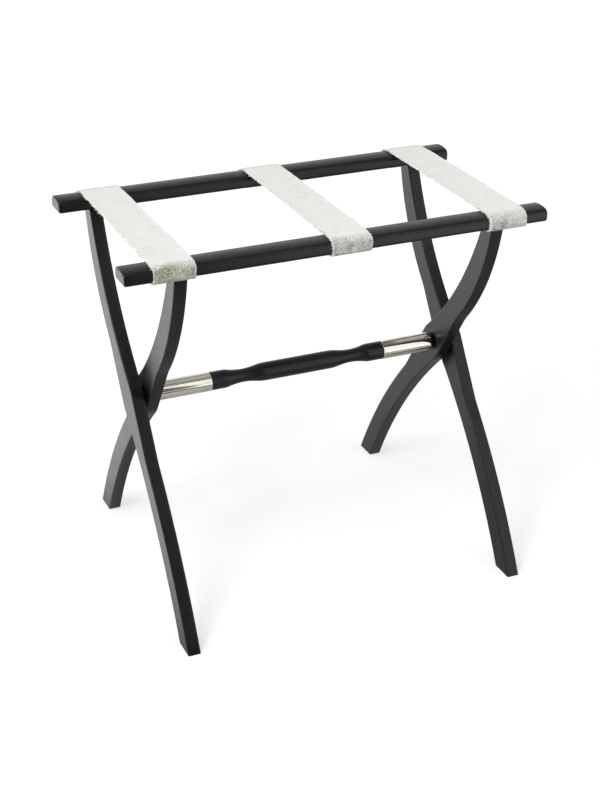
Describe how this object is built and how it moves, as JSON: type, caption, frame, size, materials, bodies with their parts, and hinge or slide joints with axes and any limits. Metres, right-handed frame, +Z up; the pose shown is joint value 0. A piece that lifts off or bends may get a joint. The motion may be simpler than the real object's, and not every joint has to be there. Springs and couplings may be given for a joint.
{
  "type": "hotel luggage bench",
  "caption": "Folding luggage rack: crossed S-curved legs under two rails, joined by a turned bar with metal ferrules, with wide straps across the top that carry a suitcase.",
  "frame": {"origin": "on the floor, midway between the four feet, under the middle of the rails", "axes": "+X along the rails to the right, +Y to the back, from the front rail to the back rail, +Z up"},
  "size_m": [0.571, 0.429, 0.5109],
  "materials": {
    "black_lacquer": "satin black lacquer on hardwood",
    "hide": "hair-on hide, white with grey flecks",
    "nickel": "soft-polished nickel",
    "pin_steel": "ground steel",
    "nylon": "black nylon",
    "beech": "bare beech",
    "tack_steel": "dull plated steel"
  },
  "bodies": {
    "inner_frame": {"front_rail": "black_lacquer", "inner_leg_left": "black_lacquer", "inner_leg_right": "black_lacquer", "dowels_inner_leg_left": "beech", "dowels_inner_leg_right": "beech", "front_rail_tacks": "tack_steel", "stretcher_bar": "black_lacquer", "ferrule_left": "nickel", "ferrule_right": "nickel", "pivot_pin_left": "pin_steel", "pivot_pin_right": "pin_steel", "strap_left": "hide", "strap_middle": "hide", "strap_right": "hide"},
    "outer_frame": {"back_rail": "black_lacquer", "outer_leg_left": "black_lacquer", "outer_leg_right": "black_lacquer", "dowels_outer_leg_left": "beech", "dowels_outer_leg_right": "beech", "back_rail_tacks": "tack_steel", "pivot_bush_left": "nylon", "pivot_bush_right": "nylon"}
  },
  "joints": [
    {"name": "fold", "type": "hinge", "parent": "inner_frame", "child": "outer_frame", "pos_m": [0, 0, 0.2727], "axis": [1, 0, 0], "range_deg": [0, 50], "deforming": ["strap_left", "strap_middle", "strap_right"]}
  ]
}
